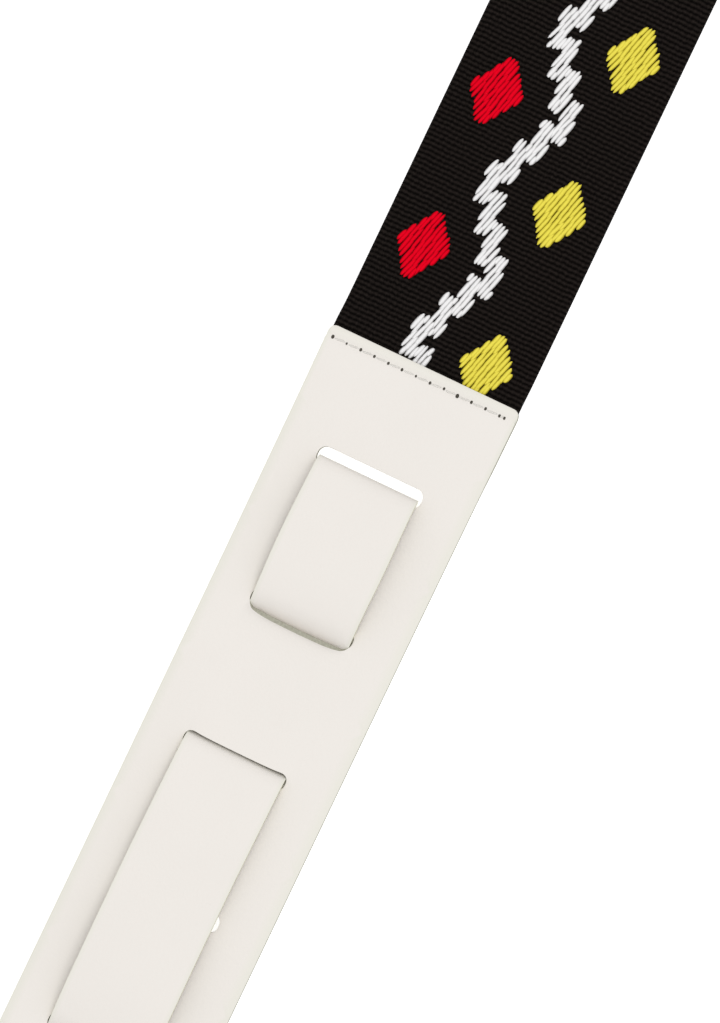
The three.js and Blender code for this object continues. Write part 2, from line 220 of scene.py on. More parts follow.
tree.links.new(bump.outputs[0], shader.inputs["Normal"])
# Painted shade: the black base colour is darkest in the grooves between ribs and between warp yarns and
# lightest on their crests; the noise adds a random tone.
rib_painted_shade = node(
    tree, "ShaderNodeMath", {0: along.outputs[0], 1: 1.5, 2: stray.outputs[0]}, operation="MULTIPLY_ADD"
)
end_painted_shade = node(
    tree, "ShaderNodeMath", {0: across.outputs[0], 1: 0.22, 2: rib_painted_shade.outputs[0]},
    operation="MULTIPLY_ADD",
)
painted_shade_place = node(
    tree, "ShaderNodeMath", {0: end_painted_shade.outputs[0], 1: -0.6}, operation="ADD", use_clamp=True
)
shade = node(tree, "ShaderNodeValToRGB", {0: painted_shade_place.outputs[0]})
shade.color_ramp.elements[0].color = (0.0026, 0.0019, 0.0017, 1)
shade.color_ramp.elements[0].position = 0.1
shade.color_ramp.elements[1].color = (0.0215, 0.0165, 0.0142, 1)
shade.color_ramp.elements[1].position = 0.95
tree.links.new(shade.outputs[0], shader.inputs["Base Color"])


def webbing_lift(x):
    """Height of the ribbon's underside: half a cosine wave up into each seam, flat between."""
    into_ladder = (seam_x + ply_gap + seam_slope - x) / seam_slope
    into_tab = (x - tab_seam_x + ply_gap + seam_slope) / seam_slope
    share = np.clip(np.maximum(into_ladder, into_tab), 0, 1)
    return seam_web_lift * (1 - np.cos(np.pi * share)) / 2


def wander(x, y):
    """How far a rib strays from straight across: two crossed waves, as hand tension leaves."""
    broad = np.sin(2 * np.pi * (y / (7.3 * mm) + x / (31 * mm)))
    fine = np.sin(2 * np.pi * (y / (3.1 * mm) - x / (17 * mm)))
    return broad_stray * broad + fine_stray * fine


def webbing_top(x, y):
    """Height of the woven face: a rounded ridge for each rib, nicked between warp yarns."""
    place = (x + wander(x, y)) / rib_pitch
    rib = np.abs(np.sin(np.pi * place)) ** rib_fullness
    warp = np.cos(2 * np.pi * y / end_pitch + np.pi * np.floor(place))
    crown = np.clip((web_half - np.abs(y)) / selvedge_round, 0, 1) ** 0.5
    flat = web_thick - rib_height - end_height
    return webbing_lift(x) + flat * (0.8 + 0.2 * crown) + rib_height * rib + end_height * warp


def webbing_back(x, y):
    """Height of the plain back: the same ribs, pressed flatter."""
    rib = np.abs(np.sin(np.pi * x / rib_pitch)) ** rib_fullness
    return webbing_lift(x) + back_rib_height * (1 - rib) + 0 * y


def grid_faces(rows, columns, closed=False):
    """Four-cornered faces of a grid of points, rows by columns; closed joins the last column."""
    r = np.arange(rows - 1)[:, None]
    c = np.arange(columns if closed else columns - 1)[None, :]
    d = (c + 1) % columns
    quads = np.stack([r * columns + c, r * columns + d, (r + 1) * columns + d, (r + 1) * columns + c])
    return quads.reshape(4, -1).T


def ribbon(name, start, end):
    """A closed length of webbing: a loop round face, selvedge and back, at every rib sample."""
    steps = max(2, round((end - start) / rib_pitch * rib_samples))
    x = np.linspace(start, end, steps + 1)[:, None]
    face_y = np.linspace(-web_half, web_half, 2 * warp_ends + 1)[None, 1:-1]
    back_y = np.linspace(web_half, -web_half, back_samples)[None, 1:-1]
    side = web_half + 0 * x
    middle = webbing_lift(x) + web_thick * 0.45
    y = np.hstack([
        np.broadcast_to(face_y, (len(x), face_y.size)), side,
        np.broadcast_to(back_y, (len(x), back_y.size)), -side,
    ])
    z = np.hstack([webbing_top(x, face_y), middle, webbing_back(x, back_y), middle])
    around = y.shape[1]
    points = np.stack([np.broadcast_to(x, y.shape), y, z], -1).reshape(-1, 3)
    faces = grid_faces(len(x), around, closed=True)
    made = mesh_object(name, points, faces[:, ::-1], [black_yarn])
    place = points[:, 0] + wander(points[:, 0], points[:, 1])
    give_uv(made, "weave", np.column_stack([place / rib_pitch, points[:, 1] / end_pitch]))
    cap_ends(made, around, len(x))
    return made


def cap_ends(thing, around, rows):
    """Closes a tube's two ends with one face each."""
    work = bmesh.new()
    work.from_mesh(thing.data)
    work.verts.ensure_lookup_table()
    first = [work.verts[i] for i in range(around)]
    last = [work.verts[(rows - 1) * around + i] for i in range(around)]
    work.faces.new(first)
    work.faces.new(last[::-1])
    work.to_mesh(thing.data)
    work.free()


# Each length of ribbon: its two ends, its fold line, and the bodies on either side.
hinges = [seam_hinge + i * link_length for i in range(links + 1)]
bodies = ["ladder"] + [f"webbing_{i + 1}" for i in range(links)] + ["tab"]
middles = [(hinges[i] + hinges[i + 1]) / 2 for i in range(links)]
cuts = [seam_x - seam_overlap] + middles + [tab_seam_x + seam_overlap]
lengths = []
for i in range(links + 1):
    at_seam = i in (0, links)
    reach = seam_bend_reach if at_seam else bend_reach
    lengths.append({
        "number": i + 1, "start": cuts[i], "end": cuts[i + 1], "from": bodies[i], "to": bodies[i + 1],
        "bend": ((hinges[i] - reach, 0, 0), (hinges[i] + reach, 0, 0)),
    })

replaced = [[f"webbing_{i + 1}"] for i in range(links)] + [["tab_webbing_end"]]
replaced[0].append("ladder_webbing_end")
for length, nodes in zip(lengths, replaced):
    piece = ribbon(f"webbing_length_{length['number']}", length["start"], length["end"])
    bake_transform(piece)
    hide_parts(*nodes)

# ---------------------------------------------------------------------------------------
# Motifs: a white vine down the middle with red and yellow diamonds beside it. Each is made
# of thick yarns that float over three or four ribs, lean a little, and dive back under.

repeat = motif_ribs * rib_pitch
yellow_y = -13.2 * mm
red_y = 14.0 * mm
pattern_start = seam_x + 6.2 * mm
float_ribs = 4
float_lean = math.radians(16)
float_width = 1.3 * mm
float_height = 0.42 * mm
float_sink = 0.08 * mm
float_dive = 0.25 * mm
float_rows = 9
float_sides = 8
diamond_half_ends = 8
diamond_half_ribs = 7.2
lane_centres = np.array([-4.75, -1.25, 2.25, 5.75]) * mm
lane_phase = np.array([0, 1 / 6, 1 / 3, 1 / 2])
lane_half_ribs = 4.5
lane_ends = 4
lane_spread = 1.04


def yarn_finish(name, low, high):
    """Soft spun yarn: filaments run along each float, mottled at random, and painted shade darkens it down
    both its sides where it rounds away; low is that shaded colour.
    """
    material, tree, shader = finish(name, high, 0.9, Specular_IOR_Level=0.05)
    uv = node(tree, "ShaderNodeUVMap", uv_map="yarn")
    parts = node(tree, "ShaderNodeSeparateXYZ", {0: uv.outputs[0]})
    across = node(tree, "ShaderNodeMath", {0: parts.outputs[1], 1: parts.outputs[1]}, operation="MULTIPLY")
    filaments = node(
        tree, "ShaderNodeTexWave", {"Vector": uv.outputs[0], "Scale": 1.1, "Distortion": 3.0},
        bands_direction="Y",
    )
    drift = node(
        tree, "ShaderNodeTexNoise", {"Vector": uv.outputs[0], "Scale": 1.4, "Detail": 3.0}
    )
    # Painted shade: lightest along the float's middle, darkest at its two sides.
    rounded = node(
        tree, "ShaderNodeMath", {0: across.outputs[0], 1: -1.5, 2: 0.95}, operation="MULTIPLY_ADD"
    )
    mottled = node(
        tree, "ShaderNodeMath", {0: drift.outputs[0], 1: 0.5, 2: rounded.outputs[0]},
        operation="MULTIPLY_ADD",
    )
    mixed = node(
        tree, "ShaderNodeMath", {0: filaments.outputs[1], 1: -0.3, 2: mottled.outputs[0]},
        operation="MULTIPLY_ADD", use_clamp=True,
    )
    tone = node(tree, "ShaderNodeMix", {"Factor": mixed.outputs[0]}, data_type="RGBA")
    tone.inputs["A"].default_value = (*low, 1)
    tone.inputs["B"].default_value = (*high, 1)
    tree.links.new(tone.outputs["Result"], shader.inputs["Base Color"])
    bump = node(
        tree, "ShaderNodeBump",
        {"Height": filaments.outputs[1], "Strength": 0.4, "Distance": 0.05 * mm},
    )
    tree.links.new(bump.outputs[0], shader.inputs["Normal"])
    return material


# The first colour of each yarn is its colour in the painted shade down a float's sides.
white_yarn = yarn_finish("white_yarn", (0.46, 0.45, 0.45), (0.9, 0.89, 0.89))
red_yarn = yarn_finish("red_yarn", (0.32, 0.0, 0.005), (0.82, 0.0, 0.014))
yellow_yarn = yarn_finish("yellow_yarn", (0.42, 0.34, 0.02), (0.85, 0.74, 0.09))


def floats_of_run(column, low, high):
    """Splits a yarn's run of ribs, low to high, where its column ties under in twill order."""
    shift = (3 * column) % float_ribs
    first = np.floor((low - shift) / float_ribs) * float_ribs + shift
    ties = np.arange(first, high + float_ribs, float_ribs)
    starts = np.maximum(ties, low)
    ends = np.minimum(ties + float_ribs, high)
    keep = ends - starts > 0.6
    return np.column_stack([starts[keep], ends[keep]])


def diamond_runs():
    """A diamond: columns whose runs shorten evenly away from the middle, plus two end stitches."""
    columns = np.arange(-diamond_half_ends, diamond_half_ends + 1)
    reach = np.clip(diamond_half_ends - np.abs(columns), 0.33, diamond_half_ribs)
    return columns, -reach, reach


def lay_floats(x0, x1, y, seed):
    """Yarn floats from x0 to x1 at y: bars of two plies that lean, half sunk in the ribs.
    A section is an oval with a groove along its middle; it narrows towards both ends."""
    random = np.random.default_rng(seed)
    count = len(y)
    along = np.cos(np.linspace(np.pi, 0, float_rows))[None, :, None]
    around = np.radians([0, 36, 68, 90, 112, 144, 180, 270])[None, None, :]
    groove = np.array([1, 1, 1, 0.8, 1, 1, 1, 1])[None, None, :]
    centre = ((x0 + x1) / 2 + 0.14 * mm * random.standard_normal(count))[:, None, None]
    reach = ((x1 - x0) / 2 + 0.42 * mm + 0.1 * mm * random.standard_normal(count))[:, None, None]
    girth = (1 - np.abs(along) ** 3) ** 0.6 + 0.02
    wide = float_width / 2 * (1 + 0.08 * random.standard_normal((count, 1, 1)))
    lean = np.tan(float_lean) * (1 + 0.12 * random.standard_normal((count, 1, 1)))
    side = wide * girth * np.cos(around)
    rise = float_height * girth * np.sin(around) * groove
    rise = rise * (1 + 0.12 * random.standard_normal((count, 1, 1)))
    x = centre + reach * along + 0 * around
    slip = 0.06 * mm * random.standard_normal((count, 1, 1))
    yy = y[:, None, None] + slip - lean * (x - centre) + side
    base = webbing_lift(x) + web_thick - float_sink
    z = base - float_dive * np.abs(along) ** 5 + np.where(rise > 0, rise, rise * 0.5)
    points = np.stack([x + 0 * yy, yy, z + 0 * yy], -1)
    one = grid_faces(float_rows, float_sides, closed=True)
    first = (np.arange(count) * float_rows * float_sides)[:, None, None]
    faces = (one[None] + first).reshape(-1, 4)
    uv = np.stack([
        (x - centre) / mm + 10 * random.random((count, 1, 1)) + 0 * yy,
        np.cos(around) + 0 * yy,
    ], -1)
    return points.reshape(-1, 3), faces, uv.reshape(-1, 2)


def motif_runs(kind):
    """Every float of one colour along the whole ribbon, as arrays of start, end and y."""
    runs = []
    repeats = range(-1, math.ceil((tab_seam_x - seam_x) / repeat) + 1)
    for k in repeats:
        if kind == "vine":
            for lane in range(4):
                for side in ((1,) if lane_phase[lane] in (0, 0.5) else (-1, 1)):
                    middle = pattern_start + repeat * (k + 0.5 + side * lane_phase[lane])
                    for end in range(lane_ends):
                        y = lane_centres[lane] - (end - (lane_ends - 1) / 2) * end_pitch * lane_spread
                        cut = floats_of_run(end + lane, -lane_half_ribs, lane_half_ribs)
                        runs.append(np.column_stack([
                            middle + cut * rib_pitch, np.full(len(cut), y),
                        ]))
        else:
            middle_y = red_y if kind == "red" else yellow_y
            middle = pattern_start + repeat * (k + (0.5 if kind == "red" else 0))
            for column, low, high in zip(*diamond_runs()):
                cut = floats_of_run(column, low, high)
                runs.append(np.column_stack([
                    middle + cut * rib_pitch, np.full(len(cut), middle_y - column * end_pitch),
                ]))
    return np.vstack(runs)


for kind, material in (("vine", white_yarn), ("red", red_yarn), ("yellow", yellow_yarn)):
    runs = motif_runs(kind)
    middle = (runs[:, 0] + runs[:, 1]) / 2
    for length in lengths:
        low = max(length["start"], seam_x - 4 * mm)
        high = min(length["end"], tab_seam_x + 4 * mm)
        mine = runs[(middle >= low) & (middle < high)]
        points, faces, uv = lay_floats(mine[:, 0], mine[:, 1], mine[:, 2], length["number"])
        piece = mesh_object(f"{kind}_floats_{length['number']}", points, faces, [material])
        give_uv(piece, "yarn", uv)
        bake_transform(piece)

# ---------------------------------------------------------------------------------------
# Ladder: two plies of off-white leather, face and lining, with a row of slots punched
# through both. The webbing's end lies between them at the seam, so the lining steps down.

ladder_low, ladder_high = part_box("ladder_face")
leather_half = ladder_high[1]
face_bottom, face_top = ladder_low[2], ladder_high[2]
face_thick = face_top - face_bottom
lining_thick = 0.9 * mm
lining_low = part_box("ladder_lining")[0][2]
lining_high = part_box("ladder_lining")[1][2] - lining_thick
ladder_length = ladder_high[0] - ladder_low[0]
step_start = seam_overlap + ply_gap
step_end = step_start + 9 * mm
slot_setback = 7 * mm
slot_pitch = 38.5 * mm
slot_count = 9
slot_centres = step_end + slot_setback + slot_pitch * np.arange(slot_count)
slot_side = -0.9 * mm
slot_half_open = 2.45 * mm
slot_half_wide = 14.3 * mm
snug_slots = (1, 2, 4)
snug_half_wide = 14.05 * mm
snug_lining_half_wide = 13.6 * mm
slot_corner = 2.2 * mm
seam_corner = 1.8 * mm
far_corner = 10 * mm
seam_patch = 19 * mm
seam_rows = 49
stitch_inset = 3.0 * mm
stitch_places = np.append(-24.0 + 3.78 * np.arange(13), 22.8) * mm
edge_round = 0.48 * mm
lining_edge_round = 0.2 * mm
lining_draw = 0.78
lip_ramp = 1.6 * mm


def leather_finish(name, light, dark, edge, grain):
    """Smooth finished leather: fine pores and wrinkles, with a creamier tone near cut edges."""
    material, tree, shader = finish(name, light, 0.55, Specular_IOR_Level=0.3)
    flat = node(tree, "ShaderNodeUVMap", uv_map="flat")
    pores = node(
        tree, "ShaderNodeTexVoronoi", {"Vector": flat.outputs[0], "Scale": 130.0, "Randomness": 1.0}
    )
    wrinkle = node(
        tree, "ShaderNodeTexNoise", {"Vector": flat.outputs[0], "Scale": 45.0, "Detail": 5.0}
    )
    cloud = node(
        tree, "ShaderNodeTexNoise", {"Vector": flat.outputs[0], "Scale": 3.5, "Detail": 3.0}
    )
    tone = node(tree, "ShaderNodeMix", {"Factor": cloud.outputs[0]}, data_type="RGBA")
    tone.inputs["A"].default_value = (*dark, 1)
    tone.inputs["B"].default_value = (*light, 1)
    rim = node(tree, "ShaderNodeAttribute", attribute_name="rim")
    edged = node(tree, "ShaderNodeMix", data_type="RGBA")
    tree.links.new(rim.outputs["Fac"], edged.inputs["Factor"])
    tree.links.new(tone.outputs["Result"], edged.inputs["A"])
    edged.inputs["B"].default_value = (*edge, 1)
    tree.links.new(edged.outputs["Result"], shader.inputs["Base Color"])
    relief = node(
        tree, "ShaderNodeMath", {0: wrinkle.outputs[0], 1: 1.5, 2: pores.outputs[0]},
        operation="MULTIPLY_ADD",
    )
    bump = node(
        tree, "ShaderNodeBump", {"Height": relief.outputs[0], "Strength": grain, "Distance": 0.1 * mm}
    )
    tree.links.new(bump.outputs[0], shader.inputs["Normal"])
    return material


def raw_edge_finish(name, colour, dark):
    """The cut edge of leather: matt fibres, a little darker and mottled."""
    material, tree, shader = finish(name, colour, 0.9, Specular_IOR_Level=0.1)
    flat = node(tree, "ShaderNodeTexCoord")
    fibres = node(
        tree, "ShaderNodeTexNoise", {"Vector": flat.outputs["Object"], "Scale": 1800.0, "Detail": 4.0}
    )
    tone = node(tree, "ShaderNodeMix", {"Factor": fibres.outputs[0]}, data_type="RGBA")
    tone.inputs["A"].default_value = (*dark, 1)
    tone.inputs["B"].default_value = (*colour, 1)
    tree.links.new(tone.outputs["Result"], shader.inputs["Base Color"])
    bump = node(
        tree, "ShaderNodeBump", {"Height": fibres.outputs[0], "Strength": 0.5, "Distance": 0.15 * mm}
    )
    tree.links.new(bump.outputs[0], shader.inputs["Normal"])
    return material


face_leather = leather_finish(
    "face_leather", (0.824, 0.784, 0.74), (0.794, 0.758, 0.714), (0.77, 0.755, 0.68), 0.25
)
lining_leather = leather_finish(
    "lining_leather", (0.74, 0.71, 0.63), (0.68, 0.65, 0.57), (0.66, 0.65, 0.56), 0.8
)
# The raw grey core of the cut leather, set darker than the core alone as painted shade on slot walls and
# along the rounded rims of every edge.
raw_edge_and_painted_shade = raw_edge_finish("raw_edge_and_painted_shade", (0.52, 0.51, 0.42), (0.26, 0.25, 0.2))


def spread(count):
    """Fractions from 0 to 1, closer together near both ends, where corners are."""
    t = np.linspace(-1, 1, count + 1)
    return (1 + 1.35 * t - 0.35 * t ** 3) / 2


def side_points(corner_a, radius_a, corner_b, radius_b, direction, fractions):
    """One side of a rounded box: half an arc at each end and the straight between them.
    direction is 0 to 3 for the +a, +y, -a and -y sides; points are evenly shared by length."""
    facing = direction * math.pi / 2
    sweep_a = facing + np.linspace(-math.pi / 4, 0, 9)
    sweep_b = facing + np.linspace(0, math.pi / 4, 9)
    arc_a = corner_a + radius_a * np.column_stack([np.cos(sweep_a), np.sin(sweep_a)])
    arc_b = corner_b + radius_b * np.column_stack([np.cos(sweep_b), np.sin(sweep_b)])
    line = np.vstack([arc_a, arc_b])
    run = np.concatenate([[0], np.cumsum(np.linalg.norm(np.diff(line, axis=0), axis=1))])
    at = fractions[:-1] * run[-1]
    return np.column_stack([np.interp(at, run, line[:, 0]), np.interp(at, run, line[:, 1])])


def rounded_box(a0, a1, y0, y1, near_radius, far_radius, across, along):
    """The outline of a box from a0 to a1, walked round from its far side."""
    n, f = near_radius, far_radius
    far_low, far_high = np.array([a1 - f, y0 + f]), np.array([a1 - f, y1 - f])
    near_low, near_high = np.array([a0 + n, y0 + n]), np.array([a0 + n, y1 - n])
    return np.vstack([
        side_points(far_low, f, far_high, f, 0, across),
        side_points(far_high, f, near_high, n, 1, along),
        side_points(near_high, n, near_low, n, 2, across),
        side_points(near_low, n, far_low, f, 3, along),
    ])


def ring_cell(hole, outline, rings):
    """A flat cell with a hole: rings that blend evenly from the hole to the outline."""
    share = rings[:, None, None]
    points = hole[None] * (1 - share) + outline[None] * share
    return points.reshape(-1, 2), grid_faces(len(rings), len(hole), closed=True)


def join(parts):
    """Several sets of points and faces as one."""
    offsets = np.cumsum([0] + [len(points) for points, _ in parts[:-1]])
    points = np.vstack([points for points, _ in parts])
    faces = np.vstack([faces + offset for (_, faces), offset in zip(parts, offsets)])
    return points, faces


def leather_sheet(name, flat, surface, faces, thickness, offset, skin, edge, edge_width, rim):
    """A ply: a surface given its thickness, welded where cells meet, with rounded cut edges.
    flat holds each point's place on the uncut hide, and rim how creamy it is near an edge."""
    made = mesh_object(name, surface, faces, [skin, edge])
    give_uv(made, "flat", flat / (100 * mm))
    attribute = made.data.attributes.new("rim", "FLOAT", "POINT")
    attribute.data.foreach_set("value", rim.astype(np.float32))
    work = bmesh.new()
    work.from_mesh(made.data)
    bmesh.ops.remove_doubles(work, verts=work.verts, dist=0.01 * mm)
    if sum(face.normal.z * face.calc_area() for face in work.faces) < 0:
        bmesh.ops.reverse_faces(work, faces=work.faces)
    work.to_mesh(made.data)
    work.free()
    wall = made.modifiers.new("thickness", "SOLIDIFY")
    wall.thickness = thickness
    wall.offset = offset
    wall.use_even_offset = True
    wall.material_offset_rim = 1
    softened = made.modifiers.new("rounded_edges", "BEVEL")
    softened.width = edge_width
    softened.segments = 3
    softened.limit_method = "ANGLE"
    softened.angle_limit = math.radians(55)
    # The rounded bevels take the edge material: on the ladder and tab plies a grey rim that is partly
    # painted shade, on the tail its cream edge colour.
    softened.material = 1
    return made


across_fractions = spread(64)
along_fractions = spread(14)
hole_rings = np.array([0, 0.045, 0.1, 0.18, 0.3, 0.5, 0.75, 1.0])


def seam_edge(y):
    """How far the seam's edge falls back at its rounded corners."""
    past = np.clip(np.abs(y) - (leather_half - seam_corner), 0, seam_corner)
    return seam_corner - np.sqrt(seam_corner ** 2 - past ** 2)


def seam_grid(length):
    """The sewn end of a ply, as rows from the rounded seam edge to a straight line."""
    y = -leather_half + 2 * leather_half * across_fractions
    rows = np.linspace(0, 1, seam_rows)[:, None] ** 1.15
    start = seam_edge(y)[None, :]
    a = start + (length - start) * rows
    points = np.stack([a, np.broadcast_to(y, a.shape)], -1).reshape(-1, 2)
    return points, grid_faces(seam_rows, len(y))


def ladder_plan(snug):
    """The whole ply from above: the sewn end, then one cell round every slot. The slots that
    the tail slants through are snug, to half a width that differs between the plies."""
    parts = [seam_grid(seam_patch)]
    borders = np.concatenate([[seam_patch], (slot_centres[1:] + slot_centres[:-1]) / 2, [ladder_length]])
    for i, centre in enumerate(slot_centres):
        wide = snug if i in snug_slots else slot_half_wide
        hole = rounded_box(
            centre - slot_half_open, centre + slot_half_open, slot_side - wide, slot_side + wide,
            slot_corner, slot_corner, across_fractions, along_fractions,
        )
        far = far_corner if i == slot_count - 1 else 0
        outline = rounded_box(
            borders[i], borders[i + 1], -leather_half, leather_half,
            0, far, across_fractions, along_fractions,
        )
        parts.append(ring_cell(hole, outline, hole_rings))
    return join(parts)


def seam_puff(a):
    """The padded look of a sewn edge: a roll at the edge, a valley at the stitches, a swell."""
    valley = -0.26 * np.exp(-((a - stitch_inset) / (0.9 * mm)) ** 2)
    roll = 0.12 * np.exp(-((a - 1.2 * mm) / (0.9 * mm)) ** 2) - 0.3 * np.exp(-a / (0.5 * mm))
    swell = 0.15 * np.exp(-((a - 8 * mm) / (5 * mm)) ** 2)
    return (valley + roll + swell) * mm


def lip(a, y, edge, side, reach):
    """1 at the middle of a slot's edge, dying away along the ply by exp(-distance / reach) and
    to nothing at the slot's ends, round its corners and on its far side."""
    away = side * (a - edge)
    near = np.clip(1 + away / lip_ramp, 0, 1)
    width = np.clip(1 - (np.abs(y - slot_side) / snug_half_wide) ** 6, 0, 1)
    return near ** 2 * (3 - 2 * near) * np.exp(-np.clip(away, 0, None) / reach) * width


# How the tail moves the slot edges it passes: which slot, to which side of it the ply lies,
# how far the edge is lifted and drawn over, and over what length that dies away. Leather
# keeps its set, so the slots the tail passes at its longest setting are lifted as well.
edge_moves = [
    (1, -1, -1.0 * mm, 0.9 * mm, 3.0 * mm),
    (1, 1, 1.8 * mm, 1.45 * mm, 1.7 * mm),
    (2, -1, 0.5 * mm, 0.55 * mm, 3.0 * mm),
    (2, 1, -0.9 * mm, 0.0 * mm, 3.0 * mm),
    (4, -1, -1.0 * mm, 0.9 * mm, 3.0 * mm),
    (4, 1, 1.45 * mm, 1.25 * mm, 1.5 * mm),
]
longest_step = 4
edge_moves += [(slot + longest_step, *rest) for slot, *rest in edge_moves if rest[1] > 0]


def ladder_lips(a, y):
    """How far the tail lifts or presses the ladder, and draws it along, beside the slots."""
    rise, draw = 0, 0
    bow = 1 - 0.25 * np.clip(np.abs(y - slot_side) / slot_half_wide, 0, 1) ** 2
    for slot, side, lifted, drawn, reach in edge_moves:
        share = lip(a, y, slot_centres[slot] + side * slot_half_open, side, reach)
        rise = rise + lifted * share
        draw = draw + drawn * share * bow
    return rise, draw


def waist(a):
    """The leather is widest where it is sewn and a hair narrower along its body."""
    share = np.clip((a - 4 * mm) / (80 * mm), 0, 1)
    return 1 - 0.012 * share * (2 - share)


def edge_tone(a, y):
    """1 along the outer cut edges and 0 a millimetre or so inside them; softer at the seam."""
    from_side = np.clip(1.25 - (leather_half - np.abs(y)) / (1.1 * mm), 0, 1)
    from_seam = 0.6 * np.clip(1.3 - a / (2.6 * mm), 0, 1)
    return np.maximum(from_side, from_seam)


def to_ladder(a, y, z):
    """From the leather end's own frame to the strap's."""
    return np.column_stack([seam_x - a, -y, z])


flat, faces = ladder_plan(snug_half_wide)
a, y = flat.T
rise, draw = ladder_lips(a, y)
face_points = to_ladder(a + draw, y * waist(a), face_top + seam_puff(a) + rise)
ladder_face = leather_sheet(
    "ladder_face_leather", flat, face_points, faces, face_thick, -1, face_leather, raw_edge_and_painted_shade,
    edge_round, edge_tone(a, y),
)
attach(ladder_face, "ladder")
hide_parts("ladder_face")

flat, faces = ladder_plan(snug_lining_half_wide)
a, y = flat.T
step_share = np.clip((a - step_start) / (step_end - step_start), 0, 1)
lining_z = lining_low + (lining_high - lining_low) * (1 - np.cos(np.pi * step_share)) / 2
rise, draw = ladder_lips(a, y)
lining_points = to_ladder(a + lining_draw * draw, y * waist(a), lining_z + lining_thick + rise)
ladder_lining = leather_sheet(
    "ladder_lining_leather", flat, lining_points, faces, lining_thick, -1, lining_leather, raw_edge_and_painted_shade,
    lining_edge_round, edge_tone(a, y),
)
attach(ladder_lining, "ladder")
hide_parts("ladder_lining")

# ---------------------------------------------------------------------------------------
# Seam threads: one row of lockstitch near each seam's edge. The needle thread lies on the
# face and the bobbin thread under the lining, both pulled down into small round holes.

thread_radius = 0.2 * mm
hole_radius = 0.4 * mm
hole_rise = 0.15 * mm
hole_sides = 10
thread_rise = 0.06 * mm
bobbin_drop = 0.12 * mm
stitch_samples = 14
stitch_dip = 0.6 * mm
thread_sides = 8

thread_yarn, tree, shader = finish("thread_yarn", (0.86, 0.83, 0.78), 0.6, Specular_IOR_Level=0.3)
uv = node(tree, "ShaderNodeUVMap", uv_map="twist")
plies = node(
    tree, "ShaderNodeTexWave", {"Vector": uv.outputs[0], "Scale": 1.0}, bands_direction="DIAGONAL"
)
bump = node(
    tree, "ShaderNodeBump", {"Height": plies.outputs[1], "Strength": 0.7, "Distance": 0.1 * mm}
)
tree.links.new(bump.outputs[0], shader.inputs["Normal"])
# Painted shade: near-black, mottled, for the shade inside the needle holes.
needle_hole_painted_shade, tree, shader = finish("needle_hole_painted_shade", (0.06, 0.055, 0.045), 0.9, Specular_IOR_Level=0.1)
hole_shade_coords = node(tree, "ShaderNodeTexCoord")
speck = node(
    tree, "ShaderNodeTexNoise", {"Vector": hole_shade_coords.outputs["Object"], "Scale": 2500.0, "Detail": 2.0}
)
tone = node(tree, "ShaderNodeMix", {"Factor": speck.outputs[0]}, data_type="RGBA")
tone.inputs["A"].default_value = (0.03, 0.027, 0.022, 1)
tone.inputs["B"].default_value = (0.12, 0.11, 0.09, 1)
tree.links.new(tone.outputs["Result"], shader.inputs["Base Color"])


def face_outwards(thing):
    """Turns every face of a closed piece to point out of it."""
    work = bmesh.new()
    work.from_mesh(thing.data)
    bmesh.ops.remove_doubles(work, verts=work.verts, dist=1e-7)
    bmesh.ops.recalc_face_normals(work, faces=work.faces)
    work.to_mesh(thing.data)
    work.free()


def stitch_row(name, a, z, upward, place, body, node_name):
    """A row of stitches across the seam: each dips to a hole at both ends and humps between.
    The thread is a round section carried along y; upward is 1 on the face and -1 underneath."""
    step = np.arange((len(stitch_places) - 1) * stitch_samples + 1) / stitch_samples
    run = np.interp(step, np.arange(len(stitch_places)), stitch_places)[:, None]
    angle = (np.arange(thread_sides) * 2 * math.pi / thread_sides)[None, :]
    phase = np.abs(np.sin(np.pi * step))[:, None]
    dip = -stitch_dip * (1 - phase) ** 2.2
    girth = thread_radius * (0.8 + 0.2 * phase)
    sway = 0.1 * mm * np.sin(2 * np.pi * step)[:, None]
    aa = a + sway + girth * 1.2 * np.cos(angle)
    zz = z + upward * (dip + 0.8 * girth * np.sin(angle))
    yy = run + 0 * angle
    points = place(aa.ravel(), yy.ravel(), zz.ravel())
    row = mesh_object(name, points, grid_faces(len(run), thread_sides, closed=True), [thread_yarn])
    give_uv(row, "twist", np.column_stack([yy.ravel() / (0.25 * mm), (angle + 0 * run).ravel() * 0.6]))
    cap_ends(row, thread_sides, len(run))
    face_outwards(row)
    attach(row, body)
    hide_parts(node_name)


def needle_holes(name, a, z, upward, place, body, seed):
    """Dimples where the needle went through, coloured near black as painted shade of a deep hole:
    shallow cups, longer along the strap, none quite the same size."""
    random = np.random.default_rng(seed)
    count = len(stitch_places)
    size = 1 + 0.1 * random.standard_normal((count, 1, 1))
    centres = stitch_places[:, None, None] + 0.05 * mm * random.standard_normal((count, 1, 1))
    radius = np.array([0.02, 0.5, 0.85, 1.0, 0.85, 0.02])[None, :, None] * hole_radius * size
    depth = np.array([0.02, 0.03, 0.0, -0.08, -0.3, -0.35])[None, :, None] * mm
    angle = (np.arange(hole_sides) * 2 * math.pi / hole_sides)[None, None, :]
    aa = a + radius * np.cos(angle) * 1.15 + 0.06 * mm * random.standard_normal((count, 1, 1))
    yy = centres + radius * np.sin(angle) * 0.85
    zz = z + upward * depth + 0 * aa
    points = place(aa.ravel(), yy.ravel(), zz.ravel())
    rings = radius.shape[1]
    one = grid_faces(rings, hole_sides, closed=True)
    faces = (one[None] + (np.arange(count) * rings * hole_sides)[:, None, None]).reshape(-1, 4)
    holes = mesh_object(name, points, faces, [needle_hole_painted_shade])
    face_outwards(holes)
    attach(holes, body)


